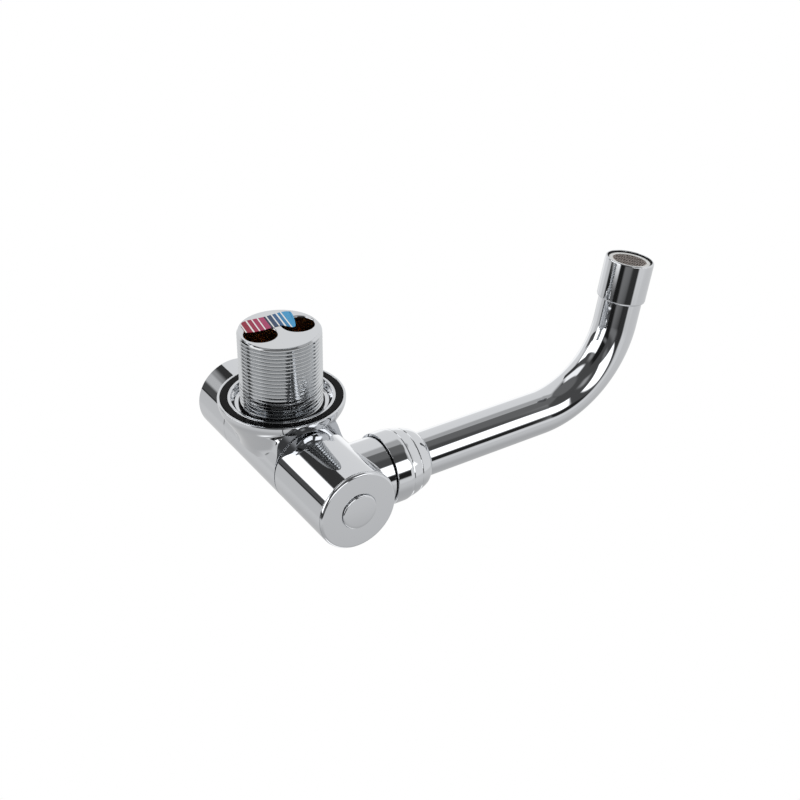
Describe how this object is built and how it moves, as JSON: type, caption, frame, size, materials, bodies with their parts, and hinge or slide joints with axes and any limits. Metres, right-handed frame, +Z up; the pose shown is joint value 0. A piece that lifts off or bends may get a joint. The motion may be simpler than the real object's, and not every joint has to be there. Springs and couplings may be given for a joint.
{
  "type": "folding caravan tap",
  "caption": "Folding water tap: a barrel on a threaded shank with a turning knob, a fold head and a swivelling bent spout with an aerator.",
  "frame": {"origin": "centre of the flange's sealing face, on the shank's axis", "axes": "+Z up, out of the worktop; +X along the barrel from the knob to the fold head; the spout points to -Y"},
  "size_m": [0.1, 0.1733, 0.0764],
  "materials": {
    "chrome": "polished chrome on brass",
    "brass": "turned brass",
    "steel": "stainless steel",
    "rubber": "black sealing rubber",
    "white_plastic": "white moulded plastic",
    "black_plastic": "black slide ring",
    "ceramic": "lapped ceramic",
    "label": "printed film sticker, red to blue stripes"
  },
  "bodies": {
    "body": {"mixer_body": "chrome", "deck_seal": "rubber", "threaded_shank": "chrome", "shank_foot_ring": "rubber", "temperature_label": "label", "cartridge_base": "white_plastic", "port_seals": "rubber", "fixed_disc": "ceramic", "cartridge_housing": "white_plastic", "cartridge_nut": "brass", "pivot_axle": "brass", "axle_o_rings": "rubber", "seam_washer": "black_plastic", "friction_washer": "white_plastic", "spring_washer": "steel", "retaining_screw": "steel"},
    "handle": {"handle_knob": "chrome", "handle_plug": "chrome", "handle_screw": "steel", "spindle": "brass", "spindle_o_ring": "rubber", "moving_disc": "ceramic"},
    "fold_head": {"fold_head": "chrome", "end_cap": "chrome", "cap_plug": "chrome", "collar_seal": "rubber", "collar_nut": "chrome"},
    "spout": {"spout_tube": "chrome", "spout_nipple": "brass", "nipple_o_rings": "rubber", "retaining_ring": "brass", "aerator_housing": "chrome", "aerator_seal": "rubber", "aerator_insert": "white_plastic", "aerator_mesh": "steel"}
  },
  "joints": [
    {"name": "handle_turn", "type": "hinge", "parent": "body", "child": "handle", "pos_m": [-0.03, 0, 0.0205], "axis": [1, 0, 0], "range_deg": [0, 120]},
    {"name": "spout_fold", "type": "hinge", "parent": "body", "child": "fold_head", "pos_m": [0.0375, 0, 0.0205], "axis": [-1, 0, 0], "range_deg": [0, 90]},
    {"name": "spout_swivel", "type": "hinge", "parent": "fold_head", "child": "spout", "pos_m": [0.0375, -0.02, 0.0205], "axis": [0, -1, 0], "continuous": true}
  ]
}
